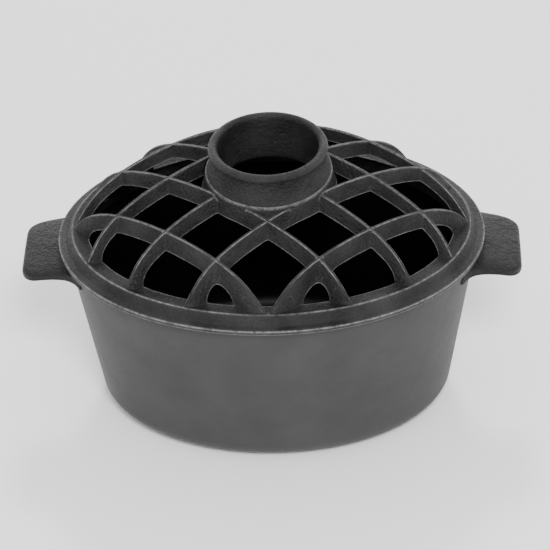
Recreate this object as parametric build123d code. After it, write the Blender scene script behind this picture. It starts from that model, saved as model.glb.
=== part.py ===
from build123d import *
import math
import os

# Oval lattice-top stove steamer in cast iron: a tapered oval pot with two lug
# handles and a lift-off domed lattice lid with a round open collar.
# Millimetres, +Z up, origin at the middle of the flat underside of the pot.
# +X runs through the two handles, -Y is the front.

# ---- pot -------------------------------------------------------------------
POT_HALF_LENGTH = 125.8      # outer half axis along X at the rim
POT_HALF_DEPTH = 95.6        # outer half axis along Y at the rim
POT_HEIGHT = 115.5
POT_DRAFT_IN = 18.5          # how far the wall leans in from rim to foot
POT_WALL = 5.0
POT_FLOOR = 5.5
POT_FOOT_RADIUS = 17.0       # rounding between wall and foot

# ---- handles ---------------------------------------------------------------
HANDLE_REACH = 26.6          # tip beyond the rim of the pot; 304.8 over both
HANDLE_ROOT_WIDTH = 60.0
HANDLE_TIP_WIDTH = 54.0
HANDLE_THICK = 5.2
HANDLE_DROP = 6.0            # how much lower the tip is than the root
HANDLE_BELOW_RIM = 1.6       # top of the root under the rim plane
HANDLE_CORNER = 8.0

# ---- lid ring --------------------------------------------------------------
RIDGE_INSET = 4.2            # ridge line inside the outer edge of the pot rim
RIDGE_HALF_LENGTH = POT_HALF_LENGTH - RIDGE_INSET
RIDGE_HALF_DEPTH = POT_HALF_DEPTH - RIDGE_INSET
FLANGE_OUT = 8.7             # flange edge outside the ridge
FLANGE_THICK = 3.0
RIDGE_HEIGHT = 9.0           # ridge top above the underside of the flange
RIDGE_BASE_OUT = 4.4
RIDGE_TOP_OUT = 0.9
RIDGE_TOP_IN = 0.9
SHELF_IN = 9.5               # inner edge of the shelf inside the ridge
SHELF_DROP = 1.2             # the shelf falls this much towards its inner edge
SHELF_THICK = 4.0
SKIRT_DEPTH = 4.0
SKIRT_THICK = 5.3
SKIRT_CLEARANCE = 1.3        # between the skirt and the inside of the pot

# ---- dome ribs -------------------------------------------------------------
DOME_BASE = 8.0              # centre of the crest ellipsoid above the underside
DOME_RISE = 41.4             # its half height
RIB_CREST = 2.0
RIB_BASE = 7.6
RIB_DEPTH = 10.0
RIB_COUNT = 5                # in each of the two diagonal families
LATTICE_PITCH = 2 * RIDGE_HALF_LENGTH / (RIB_COUNT - 1)
LATTICE_SQUASH = RIDGE_HALF_LENGTH / RIDGE_HALF_DEPTH

# ---- collar ----------------------------------------------------------------
COLLAR_BORE = 30.4           # inner radius
COLLAR_LIP_OUT = 36.0
COLLAR_BASE_OUT = 38.2
COLLAR_TOP = 67.8            # above the underside of the flange
COLLAR_NECK = 35.0           # outer radius just under the lip
COLLAR_BELOW_RIBS = 0.8      # the tube reaches this far below the ribs it joins
LIP_HEIGHT = 5.6
WEB_THICK = 4.5              # closed webs in front of the collar and behind it
WEB_LEAN_UP = 1.2            # their underside above the bottom of the collar

RIM_Z = POT_HEIGHT           # the lid rests on this plane


def crest_height(x, y):
    """Height of the dome of rib crests above the underside of the flange."""
    reach = (x / RIDGE_HALF_LENGTH) ** 2 + (y / RIDGE_HALF_DEPTH) ** 2
    return DOME_BASE + DOME_RISE * math.sqrt(max(0.0, 1 - reach))


def collar_bottom():
    """The collar starts a little below the undersides of the ribs it joins."""
    lowest = min(crest_height(COLLAR_BASE_OUT, 0), crest_height(0, COLLAR_BASE_OUT))
    return RIM_Z + lowest - RIB_DEPTH - COLLAR_BELOW_RIBS


def oval(half_length, half_depth, z):
    """One flat ellipse face at height z."""
    return Pos(0, 0, z) * Face(Wire(Edge.make_ellipse(half_length, half_depth)))


def tapered(half_length, half_depth, z_low, z_high, grow):
    """Oval block that grows outwards by `grow` from z_low to z_high."""
    low = oval(half_length, half_depth, z_low)
    high = oval(half_length + grow, half_depth + grow, z_high)
    return loft([low, high], ruled=True)


def pot_outside():
    """Outer envelope of the pot with the rounded foot."""
    body = tapered(POT_HALF_LENGTH - POT_DRAFT_IN, POT_HALF_DEPTH - POT_DRAFT_IN,
                   0, POT_HEIGHT, POT_DRAFT_IN)
    foot = body.edges().sort_by(Axis.Z)[0]
    return fillet(foot, POT_FOOT_RADIUS)


def pot_inside():
    """Space inside the pot, running on above the rim."""
    lean = POT_DRAFT_IN * (POT_HEIGHT - POT_FLOOR) / POT_HEIGHT
    half_length = POT_HALF_LENGTH - POT_WALL
    half_depth = POT_HALF_DEPTH - POT_WALL
    body = tapered(half_length - lean, half_depth - lean, POT_FLOOR, POT_HEIGHT, lean)
    foot = body.edges().sort_by(Axis.Z)[0]
    above = extrude(oval(half_length, half_depth, POT_HEIGHT), 5)
    return fillet(foot, POT_FOOT_RADIUS - POT_WALL) + above


def make_pot():
    return pot_outside() - pot_inside()


def make_handle(side):
    """Lug handle: a flat tab that droops a little and follows the pot wall."""
    tip = POT_HALF_LENGTH + HANDLE_REACH
    root = POT_HALF_LENGTH - 14
    z_root = RIM_Z - HANDLE_BELOW_RIM
    slope = HANDLE_DROP / HANDLE_REACH
    z_inner = z_root + slope * (POT_HALF_LENGTH - root)
    z_tip = z_root - HANDLE_DROP
    with BuildSketch(Plane.XZ) as side_view:
        with BuildLine():
            Polyline((root, z_inner), (tip, z_tip), (tip, z_tip - HANDLE_THICK),
                     (root, z_inner - HANDLE_THICK), close=True)
        make_face()
    slab = extrude(side_view.sketch, HANDLE_ROOT_WIDTH, both=True)
    with BuildSketch() as plan:
        with BuildLine():
            Polyline((root, -HANDLE_ROOT_WIDTH / 2), (POT_HALF_LENGTH, -HANDLE_ROOT_WIDTH / 2),
                     (tip, -HANDLE_TIP_WIDTH / 2), (tip, HANDLE_TIP_WIDTH / 2),
                     (POT_HALF_LENGTH, HANDLE_ROOT_WIDTH / 2), (root, HANDLE_ROOT_WIDTH / 2),
                     close=True)
        make_face()
        outer = plan.vertices().group_by(Axis.X)[-1]
        fillet(outer, HANDLE_CORNER)
    tab = slab & extrude(plan.sketch, POT_HEIGHT + 20)
    # keep the tab below the plane the lid rests on, then fit it to the wall
    below = Pos(tip, 0, RIM_Z - HANDLE_BELOW_RIM - 30) * Box(2 * tip, 2 * tip, 60)
    tab = (tab & below) - pot_outside()
    tab = tab.solids().sort_by(Axis.X)[-1]
    return tab if side > 0 else mirror(tab, about=Plane.YZ)


def ring_inside():
    """Space inside the lid ring, above and inside the gently falling shelf."""
    length_in, depth_in = RIDGE_HALF_LENGTH - SHELF_IN, RIDGE_HALF_DEPTH - SHELF_IN
    shelf_top = RIM_Z + RIDGE_HEIGHT - SHELF_DROP
    bore = Pos(0, 0, RIM_Z - SKIRT_DEPTH - 2) * extrude(oval(length_in, depth_in, 0),
                                                       shelf_top - RIM_Z + SKIRT_DEPTH + 2)
    slope = tapered(length_in, depth_in, shelf_top, RIM_Z + RIDGE_HEIGHT, SHELF_IN - RIDGE_TOP_IN)
    above = extrude(oval(RIDGE_HALF_LENGTH - RIDGE_TOP_IN, RIDGE_HALF_DEPTH - RIDGE_TOP_IN,
                         RIM_Z + RIDGE_HEIGHT), DOME_RISE + 20)
    return bore + slope + above


def under_shelf():
    """Hollow between the skirt and the underside of the shelf."""
    inset = POT_WALL + SKIRT_CLEARANCE + SKIRT_THICK
    low = RIM_Z - SKIRT_DEPTH - 2
    high = RIM_Z + RIDGE_HEIGHT - SHELF_DROP - SHELF_THICK
    return extrude(oval(POT_HALF_LENGTH - inset, POT_HALF_DEPTH - inset, low), high - low)


def make_rim():
    """Flat flange, the ridge it steps up to, the shelf, and the skirt in the pot mouth."""
    plate = extrude(oval(RIDGE_HALF_LENGTH + FLANGE_OUT, RIDGE_HALF_DEPTH + FLANGE_OUT, RIM_Z),
                    FLANGE_THICK)
    ridge = tapered(RIDGE_HALF_LENGTH + RIDGE_BASE_OUT, RIDGE_HALF_DEPTH + RIDGE_BASE_OUT,
                    RIM_Z + FLANGE_THICK, RIM_Z + RIDGE_HEIGHT, RIDGE_TOP_OUT - RIDGE_BASE_OUT)
    skirt = extrude(oval(POT_HALF_LENGTH - POT_WALL - SKIRT_CLEARANCE,
                         POT_HALF_DEPTH - POT_WALL - SKIRT_CLEARANCE, RIM_Z), -SKIRT_DEPTH)
    return plate + ridge + skirt - under_shelf() - ring_inside()


def collar_envelope():
    """Everything inside the outer wall of the collar, without a bore."""
    z = RIM_Z
    with BuildSketch(Plane.XZ) as half:
        with BuildLine():
            Polyline((0, collar_bottom()), (COLLAR_BASE_OUT, collar_bottom()),
                     (COLLAR_BASE_OUT - 0.6, z + DOME_RISE + DOME_BASE),
                     (COLLAR_NECK, z + COLLAR_TOP - LIP_HEIGHT),
                     (COLLAR_LIP_OUT, z + COLLAR_TOP - LIP_HEIGHT / 2),
                     (COLLAR_NECK - 0.4, z + COLLAR_TOP - 0.6),
                     ((COLLAR_NECK + COLLAR_BORE) / 2 + 0.6, z + COLLAR_TOP),
                     (0, z + COLLAR_TOP), close=True)
        make_face()
    return revolve(half.sketch, Axis.Z)


def rib_path(offset, family):
    """Arch of one rib: legs straight up from the ring joined by half an ellipse."""
    reach = RIDGE_HALF_LENGTH
    shrink = math.sqrt(1 - offset ** 2 / (2 * reach ** 2))
    half_span = shrink * reach / math.sqrt(2) * math.sqrt(1 + 1 / LATTICE_SQUASH ** 2)
    direction = Vector(LATTICE_SQUASH, -family, 0).normalized()
    middle = Vector(offset / 2, family * offset / (2 * LATTICE_SQUASH), RIM_Z + DOME_BASE)
    plane = Plane(origin=middle, x_dir=direction, z_dir=Vector(0, 0, 1).cross(direction) * -1)
    with BuildLine(plane) as path:
        Line((half_span, -DOME_BASE), (half_span, 0))
        EllipticalCenterArc((0, 0), half_span, shrink * DOME_RISE, 0, arc_size=180)
        Line((-half_span, 0), (-half_span, -DOME_BASE))
    return path.line, plane, half_span


def sweep_rib(offset, family, depth_from, depth_to):
    """Trapezoid rib between two depths under its crest, swept along the arch."""
    path, plane, half_span = rib_path(offset, family)
    start = plane.from_local_coords(Vector(half_span, -DOME_BASE, 0))
    section_plane = Plane(origin=start, x_dir=plane.x_dir, z_dir=(0, 0, 1))

    def half_width(depth):
        return (RIB_CREST + (RIB_BASE - RIB_CREST) * depth / RIB_DEPTH) / 2

    w_top, w_low = half_width(depth_from), half_width(depth_to)
    with BuildSketch(section_plane) as section:
        with BuildLine():
            Polyline((-depth_from, -w_top), (-depth_from, w_top), (-depth_to, w_low),
                     (-depth_to, -w_low), close=True)
        make_face()
    return sweep(section.sketch, path=path)


def rib_offsets():
    middle = (RIB_COUNT - 1) / 2
    return [(i - middle) * LATTICE_PITCH for i in range(RIB_COUNT)]


def make_lattice():
    """All ribs. Where two cross, family A keeps its lower half and B its upper half."""
    inside = ring_inside() - collar_envelope()
    full_a = [sweep_rib(c, 1, 0, RIB_DEPTH) & inside for c in rib_offsets()]
    full_b = [sweep_rib(c, -1, 0, RIB_DEPTH) & inside for c in rib_offsets()]
    lower_a = [sweep_rib(c, 1, RIB_DEPTH / 2, RIB_DEPTH) for c in rib_offsets()]
    parts = {}
    ribs_b = []
    for number, rib in enumerate(full_b, 1):
        for lower in lower_a:
            rib = rib - lower
        ribs_b.append(rib)
        parts.update(named(rib, f"rib_b{number}"))
    for number, rib in enumerate(full_a, 1):
        for other in ribs_b:
            rib = rib - other
        parts.update(named(rib, f"rib_a{number}"))
    return parts


def named(shape, name):
    """Split a rib at the collar into its left and right halves where it has two."""
    pieces = [s for s in shape.solids() if s.volume > 60]
    if len(pieces) == 1:
        return {name: pieces[0]}
    pieces = sorted(pieces, key=lambda s: s.center().X)
    if len(pieces) == 2:
        return {name + "_left": pieces[0], name + "_right": pieces[1]}
    return {f"{name}_{i}": piece for i, piece in enumerate(pieces, 1)}


def make_collar(ribs):
    """Round open collar with the closed webs in front of it and behind it."""
    z = RIM_Z
    bore = Pos(0, 0, z) * Cylinder(COLLAR_BORE, 3 * COLLAR_TOP,
                                   align=(Align.CENTER, Align.CENTER, Align.CENTER))
    half_x = LATTICE_PITCH / 2
    half_y = half_x / LATTICE_SQUASH
    webs = []
    for sign in (1, -1):
        with BuildSketch(Plane.XY.offset(collar_bottom() + WEB_LEAN_UP)) as plan:
            with BuildLine():
                Polyline((0, 0), (half_x, sign * half_y), (0, 2 * sign * half_y),
                         (-half_x, sign * half_y), close=True)
            make_face()
        webs.append(extrude(plan.sketch, WEB_THICK))
    collar = collar_envelope() + webs[0] + webs[1] - bore
    for rib in ribs.values():
        collar = collar - rib
    return max(collar.solids(), key=lambda s: s.volume)


def main():
    os.makedirs("parts", exist_ok=True)
    nodes = {"pot": make_pot(), "handle_left": make_handle(-1), "handle_right": make_handle(1),
             "lid_rim": make_rim()}
    ribs = make_lattice()
    nodes.update(ribs)
    nodes["collar"] = make_collar(ribs)
    for name, shape in nodes.items():
        export_step(shape, f"parts/{name}.step")
        box = shape.bounding_box()
        print(name, len(shape.solids()), round(shape.volume), box.min, box.max)


if __name__ == "__main__":
    main()
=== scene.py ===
"""Oval cast-iron stove steamer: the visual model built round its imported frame.

Two castings are made here: a tapered oval pot with a lug handle at each end, and a
lift-off domed lattice lid with a round open collar. Sizes are in millimetres in the
dataclasses and become metres when a mesh is made. The origin is the middle of the flat
underside of the pot, +X runs through the handles and -Y is the front.
"""

from __future__ import annotations

import logging
import math
from collections.abc import Callable
from dataclasses import dataclass, field
from enum import Enum

import bmesh
import bpy
import numpy as np
from mathutils import Matrix, Vector

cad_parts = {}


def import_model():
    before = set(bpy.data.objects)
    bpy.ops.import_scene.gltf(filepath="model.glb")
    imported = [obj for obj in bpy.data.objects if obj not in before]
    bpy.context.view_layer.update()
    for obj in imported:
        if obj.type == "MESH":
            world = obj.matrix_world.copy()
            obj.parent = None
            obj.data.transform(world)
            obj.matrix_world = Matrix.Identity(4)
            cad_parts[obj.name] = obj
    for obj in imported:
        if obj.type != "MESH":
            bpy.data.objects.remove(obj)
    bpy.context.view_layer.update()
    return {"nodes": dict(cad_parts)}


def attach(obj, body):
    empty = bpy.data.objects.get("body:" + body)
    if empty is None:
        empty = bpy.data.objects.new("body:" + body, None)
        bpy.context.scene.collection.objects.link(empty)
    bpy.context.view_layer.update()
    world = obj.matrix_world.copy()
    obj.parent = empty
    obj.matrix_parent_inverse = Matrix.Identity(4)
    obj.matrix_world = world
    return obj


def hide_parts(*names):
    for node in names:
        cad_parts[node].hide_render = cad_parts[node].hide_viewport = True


LOG = logging.getLogger("steamer")
MM = 0.001
# the two handles aren't cast quite alike: how far each tip hangs below its root
LEFT_DROP, RIGHT_DROP = 5.4, 7.2
# curvatures per millimetre between which a convex edge goes from no painted highlight to a full one
SHARP_EDGE_HIGHLIGHT = (0.08, 0.45)
ROUND_EDGE_HIGHLIGHT = (0.45, 1.6)


# ---------------------------------------------------------------------------
# small helpers
# ---------------------------------------------------------------------------


def smoothstep(t: np.ndarray) -> np.ndarray:
    """Eases from 0 to 1 with flat ends.

    Args:
        t: Values; anything outside 0..1 is clamped.

    Returns:
        3t^2 - 2t^3 of the clamped values.
    """
    t = np.clip(t, 0.0, 1.0)
    return t * t * (3 - 2 * t)


def smooth_max(a: np.ndarray, b: np.ndarray, k: np.ndarray | float) -> np.ndarray:
    """Larger of two heights with a fillet where they are within k of each other.

    The larger value is raised by k/4 times the square of (1 - |a - b| / k), where that
    bracket is positive.

    Args:
        a: First heights.
        b: Second heights.
        k: Height over which the two surfaces melt together.

    Returns:
        The blended heights.
    """
    k = np.maximum(k, 1e-6)
    h = np.maximum(0.0, 1.0 - np.abs(a - b) / k)
    return np.maximum(a, b) + 0.25 * k * h * h


def ellipse_distance(x: np.ndarray, y: np.ndarray, a: float, b: float) -> np.ndarray:
    """Signed distance to an axis-aligned ellipse, positive inside.

    The closest point is found by stepping along the evolute of the ellipse: the centre of
    curvature at the present guess gives the direction of the next one.

    Args:
        x: X of the points.
        y: Y of the points.
        a: Half axis along X.
        b: Half axis along Y.

    Returns:
        Distances, negative outside the ellipse.
    """
    px, py = np.abs(x), np.abs(y)
    tx = np.full_like(px, math.sqrt(0.5))
    ty = np.full_like(px, math.sqrt(0.5))
    for _ in range(5):
        ex = (a * a - b * b) * tx**3 / a
        ey = (b * b - a * a) * ty**3 / b
        rx, ry = a * tx - ex, b * ty - ey
        qx, qy = px - ex, py - ey
        r, q = np.hypot(rx, ry), np.maximum(np.hypot(qx, qy), 1e-9)
        tx = np.clip((qx * r / q + ex) / a, 0.0, 1.0)
        ty = np.clip((qy * r / q + ey) / b, 0.0, 1.0)
        t = np.maximum(np.hypot(tx, ty), 1e-9)
        tx, ty = tx / t, ty / t
    inside = (px / a) ** 2 + (py / b) ** 2 < 1.0
    distance = np.hypot(px - a * tx, py - b * ty)
    return np.where(inside, distance, -distance)


def mark_edge_highlight(mesh: bpy.types.Mesh, low: float, high: float) -> None:
    """Stores how convex the mesh is at each vertex, as the mask of a painted highlight on convex
    edges.

    The curvature along an edge is twice how far its other end lies below the tangent plane,
    over the length squared. The mean over a vertex's edges is mapped from low..high to 0..1.

    Args:
        mesh: The mesh.
        low: Curvature, per millimetre, up to which no highlight is painted.
        high: Curvature from which the painted highlight is full.
    """
    n_verts, n_edges = len(mesh.vertices), len(mesh.edges)
    place, normal = np.empty(n_verts * 3), np.empty(n_verts * 3)
    ends = np.empty(n_edges * 2, dtype=np.int32)
    mesh.vertices.foreach_get("co", place)
    mesh.vertices.foreach_get("normal", normal)
    mesh.edges.foreach_get("vertices", ends)
    place, normal, ends = place.reshape(-1, 3) / MM, normal.reshape(-1, 3), ends.reshape(-1, 2)
    total, count = np.zeros(n_verts), np.zeros(n_verts)
    for near, far in ((ends[:, 0], ends[:, 1]), (ends[:, 1], ends[:, 0])):
        step = place[far] - place[near]
        length = np.maximum((step * step).sum(axis=1), 0.01)
        np.add.at(total, near, -2 * (normal[near] * step).sum(axis=1) / length)
        np.add.at(count, near, 1)
    convex = total / np.maximum(count, 1)
    wear = mesh.attributes.new("wear", "FLOAT", "POINT")
    wear.data.foreach_set("value", np.clip((convex - low) / (high - low), 0, 1).astype(np.float32))


class MeshBuilder:
    """Collects faces given by their corner points, and welds them into one mesh."""

    def __init__(self, weld: float = 1e-4, highlight_range: tuple[float, float] = SHARP_EDGE_HIGHLIGHT) -> None:
        """Starts empty.

        Args:
            weld: Corners closer than about this many millimetres become one.
            highlight_range: Curvatures, per millimetre, where the painted edge highlight starts and
                where it is full.
        """
        self.weld = weld
        self.highlight_range = highlight_range
        self.points: list[np.ndarray] = []
        self.quads: list[np.ndarray] = []
        self.count = 0

    def grid(self, rows: np.ndarray, wrap: bool = False) -> None:
        """Adds a grid of quads.

        Args:
            rows: Points of shape (rows, columns, 3) in millimetres.
            wrap: Also joins the last column to the first.
        """
        n_rows, n_cols = rows.shape[:2]
        index = np.arange(n_rows * n_cols).reshape(n_rows, n_cols) + self.count
        right = np.roll(index, -1, axis=1) if wrap else index[:, 1:]
        left = index if wrap else index[:, :-1]
        quads = np.stack([left[:-1], right[:-1], right[1:], left[1:]], axis=-1).reshape(-1, 4)
        self.points.append(rows.reshape(-1, 3))
        self.quads.append(quads)
        self.count += n_rows * n_cols

    def fan(self, loop: np.ndarray, tip: np.ndarray) -> None:
        """Closes a loop of points with triangles to one tip.

        Args:
            loop: Points of shape (n, 3).
            tip: The shared point.
        """
        tips = np.repeat(tip[None, :], len(loop), axis=0)
        self.grid(np.stack([loop, tips]), wrap=True)

    def build(self, name: str, sharp_deg: float = 40.0) -> bpy.types.Object:
        """Welds the corners and makes the mesh object.

        Args:
            name: Name of the object.
            sharp_deg: Edges that turn by more than this are shaded as hard edges.

        Returns:
            The new object, with its origin at the world origin.
        """
        points = np.concatenate(self.points)
        quads = np.concatenate(self.quads)
        keys = np.round(points / self.weld).astype(np.int64)
        _, first, inverse = np.unique(keys, axis=0, return_index=True, return_inverse=True)
        corners = inverse.reshape(-1)[quads]
        # a quad with one corner welded to the next is a triangle; less than that is dropped
        repeated = corners == np.roll(corners, 1, axis=1)
        kept = 4 - repeated.sum(axis=1)
        sound = 1 + (np.diff(np.sort(corners, axis=1), axis=1) > 0).sum(axis=1) == kept
        squares, thirds = corners[(kept == 4) & sound], (kept == 3) & sound
        triangles = corners[thirds][~repeated[thirds]].reshape(-1, 3)
        faces = squares.tolist() + triangles.tolist()
        mesh = bpy.data.meshes.new(name)
        mesh.from_pydata((points[first] * MM).tolist(), [], faces)
        mesh.update()
        work = bmesh.new()
        work.from_mesh(mesh)
        bmesh.ops.recalc_face_normals(work, faces=work.faces)
        open_edges = sum(1 for e in work.edges if len(e.link_faces) != 2)
        work.to_mesh(mesh)
        work.free()
        # curvature mask for the painted highlight on convex edges
        mark_edge_highlight(mesh, *self.highlight_range)
        mesh.shade_smooth()
        mesh.set_sharp_from_angle(angle=math.radians(sharp_deg))
        obj = bpy.data.objects.new(name, mesh)
        bpy.context.scene.collection.objects.link(obj)
        LOG.info("%s: %d faces, %d open edges", name, len(mesh.polygons), open_edges)
        return obj


# ---------------------------------------------------------------------------
# the lid
# ---------------------------------------------------------------------------


# fillets melt more where the surface lies further under the crests
MELT_CAP = 1.2
MELT_POWER = 1.7
MELT_FLOOR = 0.05
# widths over which fillets grow from the ring inwards
FILLET_EASE = 22.0
FOOT_EASE = 6.0
# k * l is below this on the two sides of the collar that have webs
WEB_SIDE_OF_RIB = 0.02


@dataclass(frozen=True)
class LidShape:
    """Upper and lower surface of the lid casting as heights over the plan.

    Heights count from the underside of the flange, which rests on the pot rim.
    """

    rim_z: float = 115.5
    half_length: float = 121.6
    half_depth: float = 91.4
    flange_out: float = 8.7
    flange_top: float = 2.85
    flange_land: float = 0.5
    flange_rise: float = 0.7
    flange_slope_width: float = 5.5
    step_out: float = 4.6
    step_width: float = 5.0
    bead_at: float = 0.8
    bead_width: float = 1.6
    ridge_height: float = 9.0
    shelf_in: float = 9.5
    shelf_land: float = 0.4
    shelf_top: float = 8.6
    shelf_drop: float = 0.7
    shelf_under: float = 3.8
    under_from: float = 2.4
    under_width: float = 4.4
    under_power: float = 0.41
    dome_base: float = 8.0
    dome_rise: float = 41.9
    dome_edge: float = 0.1
    rib_depth: float = 10.2
    wall_slope: float = 3.5
    crest_half: float = 0.6
    crest_round: float = 0.3
    base_half: float = 4.1
    edge_half: float = 2.4
    base_corner: float = 6.0
    corner_fillet: float = 5.0
    edge_fillet: float = 3.0
    foot_fillet: float = 3.5
    end_slope: float = 5.0
    foot_slope: float = 12.0
    outside_slope: float = 1.6
    web_under_crest: float = 3.2
    web_tip: float = 1.06
    web_tip_ease: float = 0.06
    web_side: float = 1.02
    web_side_ease: float = 0.04
    collar_radius: float = 38.6
    collar_proud: float = 2.0
    collar_fillet: float = 3.0
    collar_fillet_reach: float = 9.0
    rib_reach: int = 2

    @property
    def pitch(self) -> float:
        """Spacing of one rib family measured along X."""
        return self.half_length / self.rib_reach

    @property
    def squash(self) -> float:
        """Length to depth ratio of the lattice."""
        return self.half_length / self.half_depth

    @property
    def reach_squared(self) -> float:
        """Square of the ridge radius in lattice units, where ribs are whole numbers."""
        return 2.0 * self.rib_reach**2

    @property
    def rib_spacing(self) -> float:
        """Distance between neighbouring ribs of one family, square to the ribs."""
        return self.pitch / math.hypot(1.0, self.squash)

    def to_lattice(self, x: np.ndarray, y: np.ndarray) -> tuple[np.ndarray, np.ndarray]:
        """Turns plan positions into lattice coordinates.

        k = (x - squash y) / pitch and l = (x + squash y) / pitch, so that one rib family
        lies on whole k and the other on whole l.

        Args:
            x: X in millimetres.
            y: Y in millimetres.

        Returns:
            The coordinates k and l.
        """
        return (x - self.squash * y) / self.pitch, (x + self.squash * y) / self.pitch

    def to_plan(self, k: np.ndarray, l: np.ndarray) -> tuple[np.ndarray, np.ndarray]:
        """Turns lattice coordinates back into plan positions.

        Args:
            k: First lattice coordinate.
            l: Second lattice coordinate.

        Returns:
            X and Y in millimetres.
        """
        return (k + l) * self.pitch / 2, (l - k) * self.pitch / (2 * self.squash)

    def dome(self, k: np.ndarray, l: np.ndarray) -> np.ndarray:
        """Height of the dome that all rib crests lie on.

        Well inside the ridge it is an ellipsoid, rise * sqrt(q) with q = 1 - radius^2. Near
        the ridge, where q is about dome_edge, it eases down to it more gently.

        Args:
            k: First lattice coordinate.
            l: Second lattice coordinate.

        Returns:
            Heights of the dome.
        """
        inside = np.clip(1 - (k * k + l * l) / self.reach_squared, 0.0, 1.0)
        ease = 1 - np.exp(-inside / self.dome_edge)
        return self.dome_base + self.dome_rise * np.sqrt(inside) * ease

    def rib(self, across: np.ndarray, along: np.ndarray, number: int) -> np.ndarray:
        """Height of one rib as a blade with drafted sides and a narrow round crest.

        The crest height is read at the foot of the perpendicular on the rib line. Beyond
        the narrow flat crest the sides fall by slope * (sqrt(d^2 + r^2) - r), d being the
        distance from the edge of the flat.

        Args:
            across: The lattice coordinate that the rib keeps constant.
            along: The other lattice coordinate.
            number: Which rib of the family.

        Returns:
            Heights, far below everything where the rib doesn't reach.
        """
        skew = (self.squash**2 - 1) / (self.squash**2 + 1)
        foot = along + (across - number) * skew
        unit = self.rib_spacing
        d = (across - number) * unit
        past = np.maximum(0.0, np.sqrt(number**2 + foot**2) - math.sqrt(self.reach_squared))
        side = np.maximum(0.0, np.abs(d) - self.crest_half)
        fall = self.wall_slope * (np.sqrt(side * side + self.crest_round**2) - self.crest_round)
        return self.dome(np.full_like(foot, number), foot) - fall - past * unit * self.end_slope

    def foot(self, k: np.ndarray, l: np.ndarray, near: np.ndarray) -> np.ndarray:
        """How much the surface drops beyond the foot of the ribs.

        The distance to the nearest rib of each family is taken, and the smaller of the two
        rounded where they are alike, so that the corners between the ribs are round in plan.

        Args:
            k: First lattice coordinate.
            l: Second lattice coordinate.
            near: 1 well inside the ring, falling to 0 beside it, where the feet are narrower.

        Returns:
            Heights to take off.
        """
        reach = self.rib_reach
        near_k, near_l = (np.abs(c - np.clip(np.round(c), -reach, reach)) * self.rib_spacing
                          for c in (k, l))
        nearest = -smooth_max(-near_k, -near_l, self.base_corner)
        half = self.edge_half + (self.base_half - self.edge_half) * near
        return self.foot_slope * np.maximum(0.0, nearest - half)

    def ring(self, d: np.ndarray) -> np.ndarray:
        """Ring profile: flange, steep step, beaded ridge, shelf and its inner edge.

        Args:
            d: Distance inside the ridge line, negative outside it.

        Returns:
            Heights of the upper surface.
        """
        up_flange = smoothstep((d + self.flange_out - self.flange_land) / self.flange_slope_width)
        flange = self.flange_top + self.flange_rise * up_flange
        step = smoothstep((d + self.step_out) / self.step_width)
        shelf = self.shelf_top - self.shelf_drop * smoothstep(d / self.shelf_in)
        bead_shape = np.exp(-((d - self.bead_at) / self.bead_width) ** 2)
        bead = (self.ridge_height - self.shelf_top) * bead_shape
        past_edge = np.maximum(0.0, d - self.shelf_in - self.shelf_land)
        return flange + (shelf - flange) * step + bead - self.end_slope * past_edge

    def web_share(self, k: np.ndarray, l: np.ndarray) -> np.ndarray:
        """How far a place belongs to the closed webs in front of and behind the collar.

        Args:
            k: First lattice coordinate.
            l: Second lattice coordinate.

        Returns:
            1 in a web, 0 outside, easing between the two at its edges.
        """
        tip = smoothstep((self.web_tip - np.abs(k + l)) / self.web_tip_ease)
        side = smoothstep((self.web_side - np.maximum(np.abs(k), np.abs(l))) / self.web_side_ease)
        return tip * side * (k * l < WEB_SIDE_OF_RIB)

    def top(self, x: np.ndarray, y: np.ndarray) -> np.ndarray:
        """Upper surface: the highest of all members, with fillets between them.

        Args:
            x: X in millimetres.
            y: Y in millimetres.

        Returns:
            Heights of the upper surface.
        """
        k, l = self.to_lattice(x, y)
        d = ellipse_distance(x, y, self.half_length, self.half_depth)
        outward = self.outside_slope * np.maximum(0.0, -d)
        crest = self.dome(k, l)
        numbers = range(-self.rib_reach, self.rib_reach + 1)
        family_k = np.max([self.rib(k, l, n) for n in numbers], axis=0) - outward
        family_l = np.max([self.rib(l, k, n) for n in numbers], axis=0) - outward
        below = np.maximum(0.0, crest - np.maximum(family_k, family_l))
        near = smoothstep((d - self.shelf_in) / FILLET_EASE)
        melt = self.edge_fillet + (self.corner_fillet - self.edge_fillet) * near
        melt = melt * np.clip(below / self.rib_depth, 0.0, MELT_CAP) ** MELT_POWER
        z = smooth_max(family_k, family_l, melt) - self.foot(k, l, near)
        foot_melt = np.clip(self.foot_fillet * smoothstep(d / FOOT_EASE), MELT_FLOOR, None)
        z = smooth_max(z, self.ring(d), foot_melt)
        in_web = self.web_share(k, l)
        web = crest - self.web_under_crest
        z = np.where(in_web > 0, np.maximum(z, web * in_web + z * (1 - in_web)), z)
        radius = np.hypot(x, y)
        rise = np.minimum(self.end_slope * (self.collar_radius - radius), self.collar_proud)
        by_collar = radius < self.collar_radius + self.collar_fillet_reach
        return np.where(by_collar, smooth_max(z, crest + rise, self.collar_fillet), z)

    def bottom(self, x: np.ndarray, y: np.ndarray) -> np.ndarray:
        """Lower surface: flange underside, shelf underside, then the inner dome.

        Args:
            x: X in millimetres.
            y: Y in millimetres.

        Returns:
            Heights of the lower surface.
        """
        d = ellipse_distance(x, y, self.half_length, self.half_depth)
        ramp = self.shelf_under * smoothstep((d - self.under_from) / self.under_width)
        a, b = self.half_length - self.shelf_in, self.half_depth - self.shelf_in
        inside = np.maximum(0.0, 1 - (x / a) ** 2 - (y / b) ** 2)
        rise = self.dome_base + self.dome_rise - self.rib_depth - self.shelf_under
        return ramp + rise * inside**self.under_power


FLOOR_WELD = 1e-2
TINY = 1e-9
SAME_PLACE = 1e-6
SAME_ANGLE = 1e-7
ON_RIDGE = 1e-3
LATTICE_WELD = 2e-3
UNITS_PER_RIB_LENGTH = 1.66
SPAN_SAMPLES = 2001
CENTRE_SAMPLES = 60
LINE_SAMPLES = 160
HALVINGS = 60
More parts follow.
